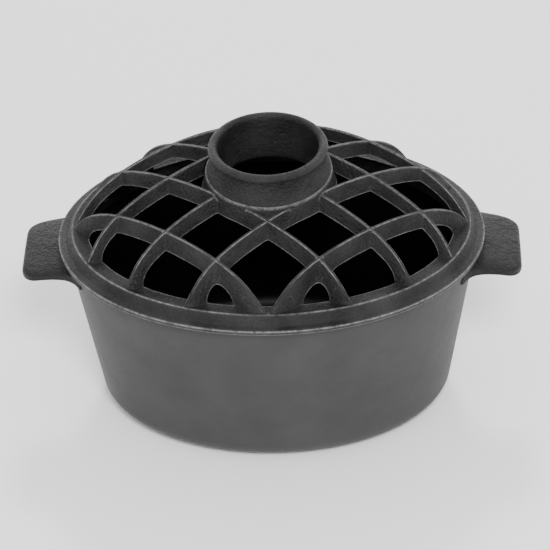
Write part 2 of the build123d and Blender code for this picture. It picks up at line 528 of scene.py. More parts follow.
# rows of a cell: down the walls from the outline, and back under them
WALL_WEIGHTS = np.array([0, .012, .025, .04, .06, .09, .14, .2, .28, .38, .5, .64, .8, .92, 1.0])
UNDER_WEIGHTS = np.array([1.0, .7, .4, .2, 0])
# rows outside the ridge line: step and flange, (offset, z) of its edge, and its underside
STEP_OFFSETS = (0, .3, .6, 1, 1.4, 1.8, 2.2, 2.7, 3.2, 3.7, 4.2, 4.8, 5.8, 7.2, 7.9)
FLANGE_EDGE = ((8.35, 2.72), (8.62, 2.45), (8.7, 2.0), (8.7, 1.0), (8.6, 0.4), (8.3, 0.08), (7.8, 0.0))
UNDER_OFFSETS = (5.0, 2.5, 0.0)


def distinct_angles(kept: set[float]) -> np.ndarray:
    """Sorted angles without doubles."""
    t = np.array(sorted(kept))
    return t[np.append(np.diff(t) > SAME_ANGLE, True)]


@dataclass
class LatticeLid:
    """Ring, ribs and webs of the lid as one welded mesh."""

    shape: LidShape = field(default_factory=LidShape)
    step: float = 1.6
    inner_radius: float = 39.6
    hidden_radius: float = 33.5
    land: float = 0.8
    lip: float = 0.35
    centre_margin: float = 0.12
    collar_rows: int = 14
    ridge_angles: set[float] = field(default_factory=set)
    collar_angles: set[float] = field(default_factory=set)

    def _edge(self, fixed_k: bool, number: int, start: float, end: float) -> np.ndarray:
        """Points along one rib between two places on it, closer where it is steep.

        With the rib's radius R in lattice units, a point lies at R sin(phi) for even phi.

        Args:
            fixed_k: The rib keeps k constant; otherwise it keeps l constant.
            number: Which rib of the family.
            start: Other coordinate at the start.
            end: Other coordinate at the end.

        Returns:
            Lattice points in order.
        """
        radius = math.sqrt(max(self.shape.reach_squared - number**2, TINY))
        phi0, phi1 = (math.asin(np.clip(v / radius, -1, 1)) for v in (start, end))
        length = abs(phi1 - phi0) * radius * self.shape.pitch / UNITS_PER_RIB_LENGTH
        n = max(2, int(math.ceil(length / self.step)))
        along = radius * np.sin(np.linspace(phi0, phi1, n + 1))
        along[0], along[-1] = start, end
        across = np.full_like(along, number)
        return np.stack([across, along] if fixed_k else [along, across], axis=1)

    def _span(self, fixed_k: bool, number: int, start: int, end: int) -> tuple[float, float] | None:
        """Part of a rib span that lies inside the ridge and outside the collar.

        Args:
            fixed_k: The rib keeps k constant; otherwise it keeps l constant.
            number: Which rib of the family.
            start: Where the span starts.
            end: Where it ends.

        Returns:
            The two ends of what is left, or None.
        """
        radius = math.sqrt(max(self.shape.reach_squared - number**2, 0.0))
        low, high = max(float(start), -radius), min(float(end), radius)
        if high - low < SAME_PLACE:
            return None
        along = np.linspace(low, high, SPAN_SAMPLES)
        across = np.full_like(along, number)
        x, y = self.shape.to_plan(*((across, along) if fixed_k else (along, across)))
        free = np.hypot(x, y) >= self.inner_radius - TINY
        if free.all():
            return low, high
        if not free.any():
            return None
        # the span leaves the collar once: find that place exactly
        i = int(np.argmax(free)) if not free[0] else int(np.argmin(free))
        a, b = along[i - 1], along[i]
        for _ in range(HALVINGS):
            mid = (a + b) / 2
            km, lm = (number, mid) if fixed_k else (mid, number)
            xm, ym = self.shape.to_plan(np.array(km, float), np.array(lm, float))
            if (math.hypot(float(xm), float(ym)) >= self.inner_radius) == bool(free[i]):
                b = mid
            else:
                a = mid
        return (b, high) if not free[0] else (low, a)

    def _arc(self, p: np.ndarray, q: np.ndarray) -> np.ndarray:
        """Points of the arc, on the ridge or on the collar, between two rib ends.

        Args:
            p: Lattice point where the arc starts.
            q: Lattice point where it ends.

        Returns:
            Lattice points in order. Their angles are kept for the rings that join them.
        """
        on_ridge = abs(float(p @ p) - self.shape.reach_squared) < ON_RIDGE
        if on_ridge:
            t0, t1 = math.atan2(p[1], p[0]), math.atan2(q[1], q[0])
            size = self.shape.half_length
        else:
            (x0, y0), (x1, y1) = self.shape.to_plan(*p), self.shape.to_plan(*q)
            t0, t1 = math.atan2(y0, x0), math.atan2(y1, x1)
            size = self.inner_radius
        turn = (t1 - t0 + math.pi) % (2 * math.pi) - math.pi
        n = max(2, int(math.ceil(abs(turn) * size / self.step)))
        t = t0 + turn * np.linspace(0, 1, n + 1)
        if on_ridge:
            r = math.sqrt(self.shape.reach_squared)
            points = np.stack([r * np.cos(t), r * np.sin(t)], axis=1)
            kept = self.ridge_angles
        else:
            k, l = self.shape.to_lattice(self.inner_radius * np.cos(t), self.inner_radius * np.sin(t))
            points = np.stack([k, l], axis=1)
            kept = self.collar_angles
        kept.update(np.round(np.mod(t, 2 * math.pi), 9).tolist())
        points[0], points[-1] = p, q
        return points

    def _outline(self, i: int, j: int) -> np.ndarray | None:
        """Outline of one cell, clipped by the ridge and by the circle round the collar.

        Args:
            i: The cell spans k = i to i + 1.
            j: The cell spans l = j to j + 1.

        Returns:
            Lattice points in order, or None where nothing is left.
        """
        sides = [(False, j, i, i + 1, 1), (True, i + 1, j, j + 1, 1),
                 (False, j + 1, i, i + 1, -1), (True, i, j, j + 1, -1)]
        runs: list[np.ndarray] = []
        for fixed_k, number, start, end, way in sides:
            if abs(number) > self.shape.rib_reach:
                continue
            span = self._span(fixed_k, number, start, end)
            if span is None:
                continue
            run = self._edge(fixed_k, number, *span)
            runs.append(run if way > 0 else run[::-1])
        if len(runs) < 2:
            return None
        points: list[np.ndarray] = []
        for n, run in enumerate(runs):
            points.extend(run[:-1])
            start = runs[(n + 1) % len(runs)][0]
            if np.hypot(*(run[-1] - start)) > SAME_PLACE:
                arc = self._arc(run[-1], start)
                points.extend(arc[:-1])
            else:
                points.append(run[-1])
        return np.array(points)

    def _centre(self, i: int, j: int) -> tuple[float, float] | None:
        """Finds where the hole of a cell is deepest.

        Args:
            i: The cell spans k = i to i + 1.
            j: The cell spans l = j to j + 1.

        Returns:
            The place in plan, or None for a closed web.
        """
        shape = self.shape
        u = np.linspace(self.centre_margin, 1 - self.centre_margin, CENTRE_SAMPLES)
        k, l = np.meshgrid(i + u, j + u)
        x, y = shape.to_plan(k, l)
        gap = shape.top(x, y) - shape.bottom(x, y)
        beyond = (k**2 + l**2 > shape.reach_squared) | (np.hypot(x, y) < self.inner_radius + 1)
        gap[beyond] = np.inf
        best = np.unravel_index(np.argmin(gap), gap.shape)
        return (x[best], y[best]) if gap[best] < 0 else None

    def _hole_share(self, x: np.ndarray, y: np.ndarray, cx: float, cy: float) -> np.ndarray:
        """How far towards the centre of the hole the casting reaches.

        On the line from an outline point to the centre it ends where the upper surface is
        `land` above the lower one.

        Args:
            x: X of the outline points.
            y: Y of the outline points.
            cx: X of the centre.
            cy: Y of the centre.

        Returns:
            One share of the way per outline point.
        """
        t = np.linspace(0, 1, LINE_SAMPLES + 1)[:, None]
        px, py = x + (cx - x) * t, y + (cy - y) * t
        room = self.shape.top(px, py) - self.shape.bottom(px, py) - self.land
        first = np.argmax(room < 0, axis=0)
        column = np.arange(len(x))
        before = np.maximum(first - 1, 0)
        r0, r1 = room[before, column], room[first, column]
        part = np.clip(r0 / np.maximum(r0 - r1, TINY), 0, 1)
        return (before + part) / LINE_SAMPLES

    def _cell(self, mesh: MeshBuilder, i: int, j: int) -> None:
        """Meshes one cell: walls down from its outline, the hole edge, and the underside.

        Args:
            mesh: Takes the faces.
            i: The cell spans k = i to i + 1.
            j: The cell spans l = j to j + 1.
        """
        lattice = self._outline(i, j)
        if lattice is None:
            return
        shape = self.shape
        x, y = shape.to_plan(lattice[:, 0], lattice[:, 1])
        centre = self._centre(i, j)
        cx, cy = centre or (x.mean(), y.mean())
        end = np.ones(len(x)) if centre is None else self._hole_share(x, y, cx, cy)

        def surface(weights: np.ndarray, height: Callable[..., np.ndarray]) -> np.ndarray:
            """Rows of points from the outline, weight 0, to the hole edge, weight 1."""
            share = weights[:, None] * end
            px, py = x + (cx - x) * share, y + (cy - y) * share
            return np.stack([px, py, height(px, py)], axis=-1)

        upper, lower = surface(WALL_WEIGHTS, shape.top), surface(UNDER_WEIGHTS, shape.bottom)
        if centre is None:
            upper[-1, :, :] = upper[-1, 0, :]
            lower[0, :, :] = lower[0, 0, :]
        mesh.grid(upper, wrap=True)
        mesh.grid(lower, wrap=True)
        if centre is not None:
            mid = (upper[-1] + lower[0]) / 2
            inward = np.stack([cx - mid[:, 0], cy - mid[:, 1]], axis=1)
            inward /= np.maximum(np.linalg.norm(inward, axis=1, keepdims=True), TINY)
            mid[:, :2] += inward * self.lip
            mesh.grid(np.stack([upper[-1], mid, lower[0]]), wrap=True)

    def _collar_ring(self, mesh: MeshBuilder) -> None:
        """Meshes the ring of casting that is hidden in the wall of the collar.

        Args:
            mesh: Takes the faces.
        """
        t = distinct_angles(self.collar_angles)
        radii = np.linspace(self.inner_radius, self.hidden_radius, self.collar_rows)
        x, y = radii[:, None] * np.cos(t), radii[:, None] * np.sin(t)
        upper = np.stack([x, y, self.shape.top(x, y)], axis=-1)
        lower = np.stack([x, y, self.shape.bottom(x, y)], axis=-1)
        mesh.grid(np.concatenate([upper, lower[::-1]]), wrap=True)

    def _ring(self, mesh: MeshBuilder) -> None:
        """Meshes the step, the flange, its edge and its underside round the ridge line.

        Args:
            mesh: Takes the faces.
        """
        shape = self.shape
        t = distinct_angles(self.ridge_angles)
        r = math.sqrt(shape.reach_squared)
        x, y = shape.to_plan(r * np.cos(t), r * np.sin(t))
        normal = np.stack([x / shape.half_length**2, y / shape.half_depth**2], axis=1)
        normal /= np.linalg.norm(normal, axis=1, keepdims=True)

        def row(out: float, z: float | None) -> np.ndarray:
            """Points `out` beyond the ridge line, at height z or on the upper surface."""
            px, py = x + normal[:, 0] * out, y + normal[:, 1] * out
            height = shape.top(px, py) if z is None else np.full_like(px, z)
            return np.stack([px, py, height], axis=1)

        rows = [row(out, None) for out in STEP_OFFSETS]
        rows += [row(out, z) for out, z in FLANGE_EDGE]
        rows += [row(out, 0.0) for out in UNDER_OFFSETS]
        mesh.grid(np.stack(rows), wrap=True)

    def build(self) -> bpy.types.Object:
        """Builds ring, ribs and webs.

        Returns:
            The lattice object.
        """
        mesh = MeshBuilder(weld=LATTICE_WELD)
        cells = range(-self.shape.rib_reach - 1, self.shape.rib_reach + 1)
        for i in cells:
            for j in cells:
                self._cell(mesh, i, j)
        self._ring(mesh)
        self._collar_ring(mesh)
        for points in mesh.points:
            points[:, 2] += self.shape.rim_z
        return mesh.build("lid_lattice", sharp_deg=55)


def lathe(name: str, profile: np.ndarray, half: tuple[float, float] | None, steps: int,
          closed: bool, sharp_deg: float = 40.0) -> bpy.types.Object:
    """Turns a profile round the Z axis, as a circle or as an oval.

    Args:
        name: Name of the object.
        profile: Points (offset, z). For a circle the offset is the radius; for an oval it is
            added to both half axes.
        half: Half axes of the oval, or None for a circle.
        steps: How many columns.
        closed: The profile is a ring; otherwise its ends are closed on the axis.
        sharp_deg: Angle above which an edge is shaded hard.

    Returns:
        The object.
    """
    t = np.linspace(0, 2 * math.pi, steps, endpoint=False)
    a, b = half if half else (0.0, 0.0)
    rows = np.stack([np.stack([(a + o) * np.cos(t), (b + o) * np.sin(t), np.full_like(t, z)], axis=1)
                     for o, z in profile])
    mesh = MeshBuilder(highlight_range=ROUND_EDGE_HIGHLIGHT)
    if closed:
        rows = np.concatenate([rows, rows[:1]])
        mesh.grid(rows, wrap=True)
    else:
        mesh.grid(rows, wrap=True)
        for loop in (rows[0], rows[-1]):
            mesh.fan(loop, np.array([0.0, 0.0, loop[0, 2]]))
    return mesh.build(name, sharp_deg)


def arc_points(centre: tuple[float, float], radius: float, start: float, end: float,
               steps: int) -> list[tuple[float, float]]:
    """Points of a circular arc in a profile plane.

    Args:
        centre: Centre (offset, z).
        radius: Radius.
        start: First angle in degrees, counted from outwards towards up.
        end: Last angle in degrees.
        steps: Number of steps.

    Returns:
        steps + 1 points.
    """
    angles = np.radians(np.linspace(start, end, steps + 1))
    return [(centre[0] + radius * math.cos(g), centre[1] + radius * math.sin(g)) for g in angles]


@dataclass
class Collar:
    """Round open collar with a rolled lip. Heights count from the rim of the pot."""

    rim_z: float = 115.5
    bore: float = 30.4
    neck: float = 35.0
    lip_radius: float = 2.85
    top: float = 67.8
    base: float = 38.8
    # (how far inside the base radius, height) from the foot up to the neck
    foot_rows: tuple[tuple[float, float], ...] = (
        (1.2, 36.2), (0.3, 36.9), (0.0, 40.0), (0.0, 44.0), (0.5, 47.0), (1.4, 49.6), (2.3, 52.4))
    # (how far outside the neck radius, height) from there up to the lip
    neck_rows: tuple[tuple[float, float], ...] = ((0.7, 55.6), (0.25, 58.4), (0.1, 60.6), (0.25, 62.4))
    # (how far outside the bore radius, height) down the inside and under the foot
    bore_rows: tuple[tuple[float, float], ...] = (
        (0.0, 60.0), (0.0, 54.0), (0.0, 48.0), (0.0, 42.0), (0.0, 38.0), (0.6, 36.7), (1.6, 36.2))
    lip_turn: tuple[float, float] = (-38.0, 180.0)
    lip_steps: int = 18
    columns: int = 192

    def build(self) -> bpy.types.Object:
        """Builds the collar by turning foot, neck, lip and bore round the Z axis.

        Returns:
            The collar object.
        """
        centre = (self.bore + self.lip_radius, self.top - self.lip_radius)
        profile = [(self.base - inside, z) for inside, z in self.foot_rows]
        profile += [(self.neck + outside, z) for outside, z in self.neck_rows]
        profile += arc_points(centre, self.lip_radius, *self.lip_turn, self.lip_steps)
        profile += [(self.bore + outside, z) for outside, z in self.bore_rows]
        rows = np.array(profile) + (0.0, self.rim_z)
        return lathe("lid_collar", rows, None, self.columns, True)


@dataclass
class Skirt:
    """Low wall under the lid that sits inside the mouth of the pot."""

    rim_z: float = 115.5
    half: tuple[float, float] = (119.5, 89.3)
    thick: float = 5.3
    depth: float = 4.0
    columns: int = 288
    # the low corner, as (how far in, how far up), and the two ends hidden in the lid
    corner: tuple[tuple[float, float], ...] = ((0.0, 1.0), (0.3, 0.3), (1.0, 0.0))
    outer_top: tuple[tuple[float, float], ...] = ((-1.2, 4.0), (0.0, 2.4))
    inner_top: tuple[tuple[float, float], ...] = ((0.0, 4.6), (1.5, 5.2))

    def build(self) -> bpy.types.Object:
        """Builds the skirt by taking its section round the oval.

        Returns:
            The skirt object.
        """
        profile = [*self.outer_top, *((-x, z - self.depth) for x, z in self.corner)]
        profile += [(x - self.thick, z - self.depth) for x, z in reversed(self.corner)]
        profile += [(x - self.thick, z) for x, z in self.inner_top]
        return lathe("lid_skirt", np.array(profile) + (0.0, self.rim_z), self.half, self.columns, True)


# ---------------------------------------------------------------------------
# the pot
# ---------------------------------------------------------------------------


@dataclass
class Pot:
    """Tapered oval pot with a rounded foot."""

    half: tuple[float, float] = (125.8, 95.6)
    height: float = 115.5
    draft_in: float = 18.5
    wall: float = 5.0
    floor: float = 5.5
    foot_radius: float = 17.0
    rim_round: float = 0.9
    foot_steps: int = 14
    wall_from: float = 24.0
    outside_rows: int = 26
    inside_rows: int = 18
    columns: int = 320
    sharp_deg: float = 60.0

    def build(self) -> bpy.types.Object:
        """Builds the pot wall, foot, floor, inside and rim as one closed surface.

        Returns:
            The pot object.
        """
        tilt = math.degrees(math.atan2(self.draft_in, self.height))
        slope = self.draft_in / self.height

        def corner(inset: float, base: float, radius: float) -> list[tuple[float, float]]:
            """Arc of this radius between the floor at height `base` and the leaning wall."""
            cz = base + radius
            # distance from the wall line to the centre of the arc is the radius
            wall_at = -inset - slope * (self.height - cz)
            cr = wall_at - radius / math.cos(math.radians(tilt))
            return arc_points((cr, cz), radius, -90, -tilt, self.foot_steps)

        def wall(inset: float, heights: np.ndarray) -> list[tuple[float, float]]:
            """Points of the leaning wall, `inset` inside the outer one."""
            return [(-inset - slope * (self.height - z), z) for z in heights]

        outside = corner(0.0, 0.0, self.foot_radius)
        outside += wall(0.0, np.linspace(self.wall_from, self.height - 1.2, self.outside_rows))
        r = self.rim_round
        rim = [(-0.15, self.height - r * 0.5), (-0.5, self.height - 0.12), (-r - 0.1, self.height),
               (-self.wall + r, self.height), (-self.wall + 0.4, self.height - 0.15),
               (-self.wall, self.height - r)]
        inside = wall(self.wall, np.linspace(self.height - 3, self.wall_from, self.inside_rows))
        inside += corner(self.wall, self.floor, self.foot_radius - self.wall)[::-1]
        profile = np.array(outside + rim + inside)
        shell = lathe("pot_shell", profile, self.half, self.columns, False, self.sharp_deg)
        self._mark_inside(shell.data)
        return shell

    def _mark_inside(self, mesh: bpy.types.Mesh) -> None:
        """Gives the second material slot to the faces that look at the inside.

        They are those whose normal points at the Z axis, and the floor, below the rim. Their
        near-black coat is partly a black inner finish and partly painted shade for the dark inside of
        the covered pot.

        Args:
            mesh: The finished shell.
        """
        count = len(mesh.polygons)
        centre, normal = np.empty(count * 3), np.empty(count * 3)
        mesh.polygons.foreach_get("center", centre)
        mesh.polygons.foreach_get("normal", normal)
        centre, normal = centre.reshape(-1, 3) / MM, normal.reshape(-1, 3)
        inward = (centre[:, :2] * normal[:, :2]).sum(axis=1) < -1.0
        floor = (normal[:, 2] > 0.5) & (centre[:, 2] < self.height / 2)
        below_rim = centre[:, 2] < self.height - self.rim_round - 0.5
        mesh.polygons.foreach_set("material_index", ((inward | floor) & below_rim).astype(np.int32))


class Side(Enum):
    """End of the pot, as the sign of its X."""

    LEFT = -1
    RIGHT = 1


@dataclass
class Handle:
    """Lug handle: a drooping rounded tab whose root flares into the pot wall."""

    side: Side
    drop: float
    half: tuple[float, float] = (125.8, 95.6)
    reach: float = 26.6
    root_half_width: float = 30.0
    tip_half_width: float = 27.0
    thick: float = 5.2
    top_z: float = 113.6
    corner: float = 9.5
    root_flare: float = 4.0
    flare_fade: float = 3.2
    flare_shares: tuple[float, float] = (1.3, 1.2)
    crown: float = 2.2
    droop_power: float = 1.15
    tip_round: float = 2.4
    thinnest: float = 0.02
    straight_from: float = 16.0
    section_powers: tuple[float, float] = (0.132, 0.24)
    columns: int = 112
    sharp_deg: float = 50.0

    def build(self) -> bpy.types.Object:
        """Builds the handle as cross-sections from inside the wall to the tip.

        A section is a rounded oblong: y = width |cos|^p and z = half height |sin|^q, with
        the signs of cos and sin. It starts on the curve of the wall, narrows round the
        corners of the tab and thins to a round edge at the tip.

        Returns:
            The handle object.
        """
        a, b = self.half
        way = self.side.value
        tip_rows = 1 - np.sin(np.linspace(0.05, math.pi / 2, 16))
        out = np.concatenate([np.linspace(-3.5, 10, 20), np.linspace(11, self.reach - 9, 8),
                              self.reach - 8 * tip_rows])[:, None]
        angle = np.linspace(0, 2 * math.pi, self.columns, endpoint=False)
        ring_y, ring_z = (np.sign(v) * np.abs(v) ** power
                          for v, power in zip((np.cos(angle), np.sin(angle)), self.section_powers))
        share = np.clip(out / self.reach, 0, 1)
        flare = self.root_flare * np.exp(-np.maximum(out + 1.0, 0.0) / self.flare_fade)
        left = self.reach - out
        width = self.root_half_width + (self.tip_half_width - self.root_half_width) * share
        into_corner = np.maximum(self.corner - left, 0.0)
        width -= self.corner - np.sqrt(np.maximum(self.corner**2 - into_corner**2, 0.0))
        into_tip = np.maximum(0.0, (self.tip_round - left) / self.tip_round)
        thick = self.thick * np.maximum(np.sqrt(np.maximum(1 - into_tip**2, 0.0)), self.thinnest)
        top = self.top_z - self.drop * share**self.droop_power - self.thick / 2 + thick / 2
        wider, lower = self.flare_shares
        low = top - thick - flare * lower
        y = (width + flare * wider) * ring_y
        crown = self.crown * (y / self.root_half_width) ** 2
        z = (top + low) / 2 + (top - low) / 2 * ring_z - crown
        bend = a * np.sqrt(np.clip(1 - (y / b) ** 2, 0, 1)) - a
        x = a + out + bend * (1 - smoothstep(out / self.straight_from))
        rows = np.stack([x * way, y, z], axis=-1)
        mesh = MeshBuilder(highlight_range=ROUND_EDGE_HIGHLIGHT)
        mesh.grid(rows, wrap=True)
        mesh.fan(rows[0], rows[0].mean(axis=0))
        mesh.fan(rows[-1], rows[-1].mean(axis=0) + np.array([self.thinnest * way, 0, 0]))
        return mesh.build(f"handle_cast_{self.side.name.lower()}", self.sharp_deg)


# ---------------------------------------------------------------------------
# finishes
# ---------------------------------------------------------------------------


class Coat(Enum):
    """Which part of the castings a finish is for."""

    LID = "lid_iron"
    POT = "pot_iron"
    HANDLE = "handle_iron"
    # near-black inside coat: partly a black inner finish, partly painted shade for the dark inside of
    # the covered pot
    INSIDE = "pot_inside"


@dataclass(frozen=True)
class IronFinish:
    """Satin black cast iron, lightened on convex edges by a painted highlight.

    Colours are linear RGB; lengths are in metres.
    """

    coat: Coat
    dark: tuple[float, float, float]
    light: tuple[float, float, float]
    # painted highlight: lighter colour on convex edges, standing in for the light they catch
    painted_highlight: tuple[float, float, float]
    roughness: float
    rough_spread: float
    shine: float
    grain_size: float
    grain_depth: float
    pit_depth: float
    wave_depth: float


FINISHES = {finish.coat: finish for finish in (
    IronFinish(Coat.LID, dark=(0.006, 0.006, 0.0065), light=(0.027, 0.027, 0.0285),
               painted_highlight=(0.17, 0.17, 0.168), roughness=0.47, rough_spread=0.16, shine=0.22,
               grain_size=0.0015, grain_depth=0.0012, pit_depth=0.0005, wave_depth=0.0004),
    IronFinish(Coat.POT, dark=(0.032, 0.032, 0.0323), light=(0.043, 0.043, 0.0433),
               painted_highlight=(0.075, 0.075, 0.075), roughness=0.54, rough_spread=0.06, shine=0.22,
               grain_size=0.0012, grain_depth=0.00014, pit_depth=0.00008, wave_depth=0.0003),
    IronFinish(Coat.HANDLE, dark=(0.003, 0.003, 0.0032), light=(0.008, 0.008, 0.0083),
               painted_highlight=(0.04, 0.04, 0.039), roughness=0.42, rough_spread=0.12, shine=0.20,
               grain_size=0.0018, grain_depth=0.0012, pit_depth=0.0006, wave_depth=0.0012),
    # inside of the pot: near black, partly a black inner finish and partly painted shade for the
    # covered pot's dark inside
    IronFinish(Coat.INSIDE, dark=(0.002, 0.002, 0.002), light=(0.003, 0.003, 0.003),
               painted_highlight=(0.02, 0.02, 0.02), roughness=0.40, rough_spread=0.05, shine=0.1,
               grain_size=0.0012, grain_depth=0.0001, pit_depth=0.00004, wave_depth=0.0003),
)}


class NodeKit:
    """Adds and wires the nodes that the finishes are made of."""

    def __init__(self, tree: bpy.types.NodeTree) -> None:
        """Starts with a coordinate node.

        Args:
            tree: The tree that takes the nodes.
        """
        self.nodes, self.links = tree.nodes, tree.links
        self.where = self.nodes.new("ShaderNodeTexCoord")

    def math(self, kind: str, a: object, b: object) -> bpy.types.NodeSocket:
        """Joins two values.

        Args:
            kind: Operation of the Math node.
            a: A socket or a number.
            b: A socket or a number.

        Returns:
            The result.
        """
        node = self.nodes.new("ShaderNodeMath")
        node.operation = kind
        for socket, value in zip(node.inputs, (a, b)):
            if isinstance(value, bpy.types.NodeSocket):
                self.links.new(value, socket)
            else:
                socket.default_value = value
        return node.outputs[0]

    def noise(self, scale: float | bpy.types.NodeSocket, detail: float,
              roughness: float = 0.5) -> bpy.types.NodeSocket:
        """Noise on Object coordinates.

        Args:
            scale: How many cells in a metre, or a socket that says so.
            detail: Octaves.
            roughness: How strong the finer octaves are.

        Returns:
            The noise value.
        """
        node = self.nodes.new("ShaderNodeTexNoise")
        node.inputs["Detail"].default_value = detail
        node.inputs["Roughness"].default_value = roughness
        if isinstance(scale, bpy.types.NodeSocket):
            self.links.new(scale, node.inputs["Scale"])
        else:
            node.inputs["Scale"].default_value = scale
        self.links.new(self.where.outputs["Object"], node.inputs["Vector"])
        return node.outputs["Fac"]

    def remap(self, value: bpy.types.NodeSocket, given: tuple[float, float],
              wanted: tuple[float, float] = (0.0, 1.0)) -> bpy.types.Node:
        """Stretches a range of values to another.

        Args:
            value: What is remapped.
            given: Low and high end of the range that comes in.
            wanted: What they become.

        Returns:
            The Map Range node.
        """
        node = self.nodes.new("ShaderNodeMapRange")
        ends = ("From Min", "From Max", "To Min", "To Max")
        for name, number in zip(ends, (*given, *wanted)):
            node.inputs[name].default_value = number
        self.links.new(value, node.inputs["Value"])
        return node

    def mix(self, factor: bpy.types.NodeSocket, a: object,
            b: tuple[float, float, float]) -> bpy.types.NodeSocket:
        """Mixes two colours.

        Args:
            factor: 0 for a, 1 for b.
            a: Linear RGB, or a socket.
            b: Linear RGB.

        Returns:
            The mixed colour.
        """
        node = self.nodes.new("ShaderNodeMix")
        node.data_type = "RGBA"
        if isinstance(a, bpy.types.NodeSocket):
            self.links.new(a, node.inputs["A"])
        else:
            node.inputs["A"].default_value = (*a, 1.0)
        node.inputs["B"].default_value = (*b, 1.0)
        self.links.new(factor, node.inputs["Factor"])
        return node.outputs["Result"]


def new_group(name: str, given: dict[str, float], made: tuple[str, ...]) -> bpy.types.NodeTree:
    """Starts a shader node group.

    Args:
        name: Name of the group.
        given: Its inputs with their default values.
        made: Its outputs.

    Returns:
        The group, holding no nodes yet.
    """
    group = bpy.data.node_groups.new(name, "ShaderNodeTree")
    for label, value in given.items():
        socket = group.interface.new_socket(label, in_out="INPUT", socket_type="NodeSocketFloat")
        socket.default_value = value
    for label in made:
        group.interface.new_socket(label, in_out="OUTPUT", socket_type="NodeSocketFloat")
    return group


# sand-cast skin: cells in a metre, octaves, and the ranges that are stretched
GRAIN_DETAIL, GRAIN_ROUGHNESS = 4.0, 0.62
PIT_SPACING = 0.42
PATCH_SCALE, PATCH_DETAIL, PATCH_RANGE = 55.0, 3.0, (0.42, 0.66)
PIT_RANGE = (0.05, 0.42)
WAVE_SCALE, WAVE_DETAIL = 28.0, 2.0
# broken-up painted highlight on convex edges
HIGHLIGHT_SCALE, HIGHLIGHT_DETAIL, HIGHLIGHT_RANGE, HIGHLIGHT_LEFT = 320.0, 3.0, (0.35, 0.6), 0.35
# slow change of colour
CLOUD_SCALE, CLOUD_DETAIL, CLOUD_ROUGHNESS, CLOUD_RANGE = 34.0, 5.0, 0.55, (0.3, 0.7)
ROUGH_RANGE = (0.25, 0.75)


def cast_grain_group() -> bpy.types.NodeTree:
    """Node group: height of a sand-cast skin made of grain, pits and slow waves.

    Height = grain noise * Grain Depth + pit cells * patches * Pit Depth + wave noise *
    Wave Depth.

    Returns:
        The group, with sockets Grain Size, Grain Depth, Pit Depth and Wave Depth, and the
        outputs Height and Mask.
    """
    given = {"Grain Size": 0.001, "Grain Depth": 0.0001, "Pit Depth": 0.0001, "Wave Depth": 0.0002}
    group = new_group("cast_grain", given, ("Height", "Mask"))
    kit = NodeKit(group)
    inputs, result = kit.nodes.new("NodeGroupInput"), kit.nodes.new("NodeGroupOutput")
    scale = kit.math("DIVIDE", 1.0, inputs.outputs["Grain Size"])
    grain = kit.noise(scale, GRAIN_DETAIL, GRAIN_ROUGHNESS)
    pits = kit.nodes.new("ShaderNodeTexVoronoi")
    kit.links.new(kit.where.outputs["Object"], pits.inputs["Vector"])
    kit.links.new(kit.math("MULTIPLY", scale, PIT_SPACING), pits.inputs["Scale"])
    patches = kit.remap(kit.noise(PATCH_SCALE, PATCH_DETAIL), PATCH_RANGE).outputs[0]
    dots = kit.remap(pits.outputs["Distance"], PIT_RANGE).outputs[0]
    wave = kit.noise(WAVE_SCALE, WAVE_DETAIL)
    height = kit.math("MULTIPLY", kit.math("MULTIPLY", dots, patches), inputs.outputs["Pit Depth"])
    for value, depth in ((grain, "Grain Depth"), (wave, "Wave Depth")):
        height = kit.math("ADD", height, kit.math("MULTIPLY", value, inputs.outputs[depth]))
    kit.links.new(height, result.inputs["Height"])
    kit.links.new(grain, result.inputs["Mask"])
    return group


def edge_highlight_group() -> bpy.types.NodeTree:
    """Node group: breaks up with noise the mesh's own mask of the painted highlight on convex edges.

    Mask = highlight mask * noise stretched to Break Up..1.

    Returns:
        The group, with the input Break Up and the output Mask.
    """
    group = new_group("edge_highlight", {"Break Up": HIGHLIGHT_LEFT}, ("Mask",))
    kit = NodeKit(group)
    inputs, result = kit.nodes.new("NodeGroupInput"), kit.nodes.new("NodeGroupOutput")
    painted_highlight = kit.nodes.new("ShaderNodeAttribute")
    painted_highlight.attribute_name = "wear"
    broken = kit.remap(kit.noise(HIGHLIGHT_SCALE, HIGHLIGHT_DETAIL), HIGHLIGHT_RANGE)
    kit.links.new(inputs.outputs["Break Up"], broken.inputs["To Min"])
    mask = kit.math("MULTIPLY", painted_highlight.outputs["Fac"], broken.outputs[0])
    kit.links.new(mask, result.inputs["Mask"])
    return group


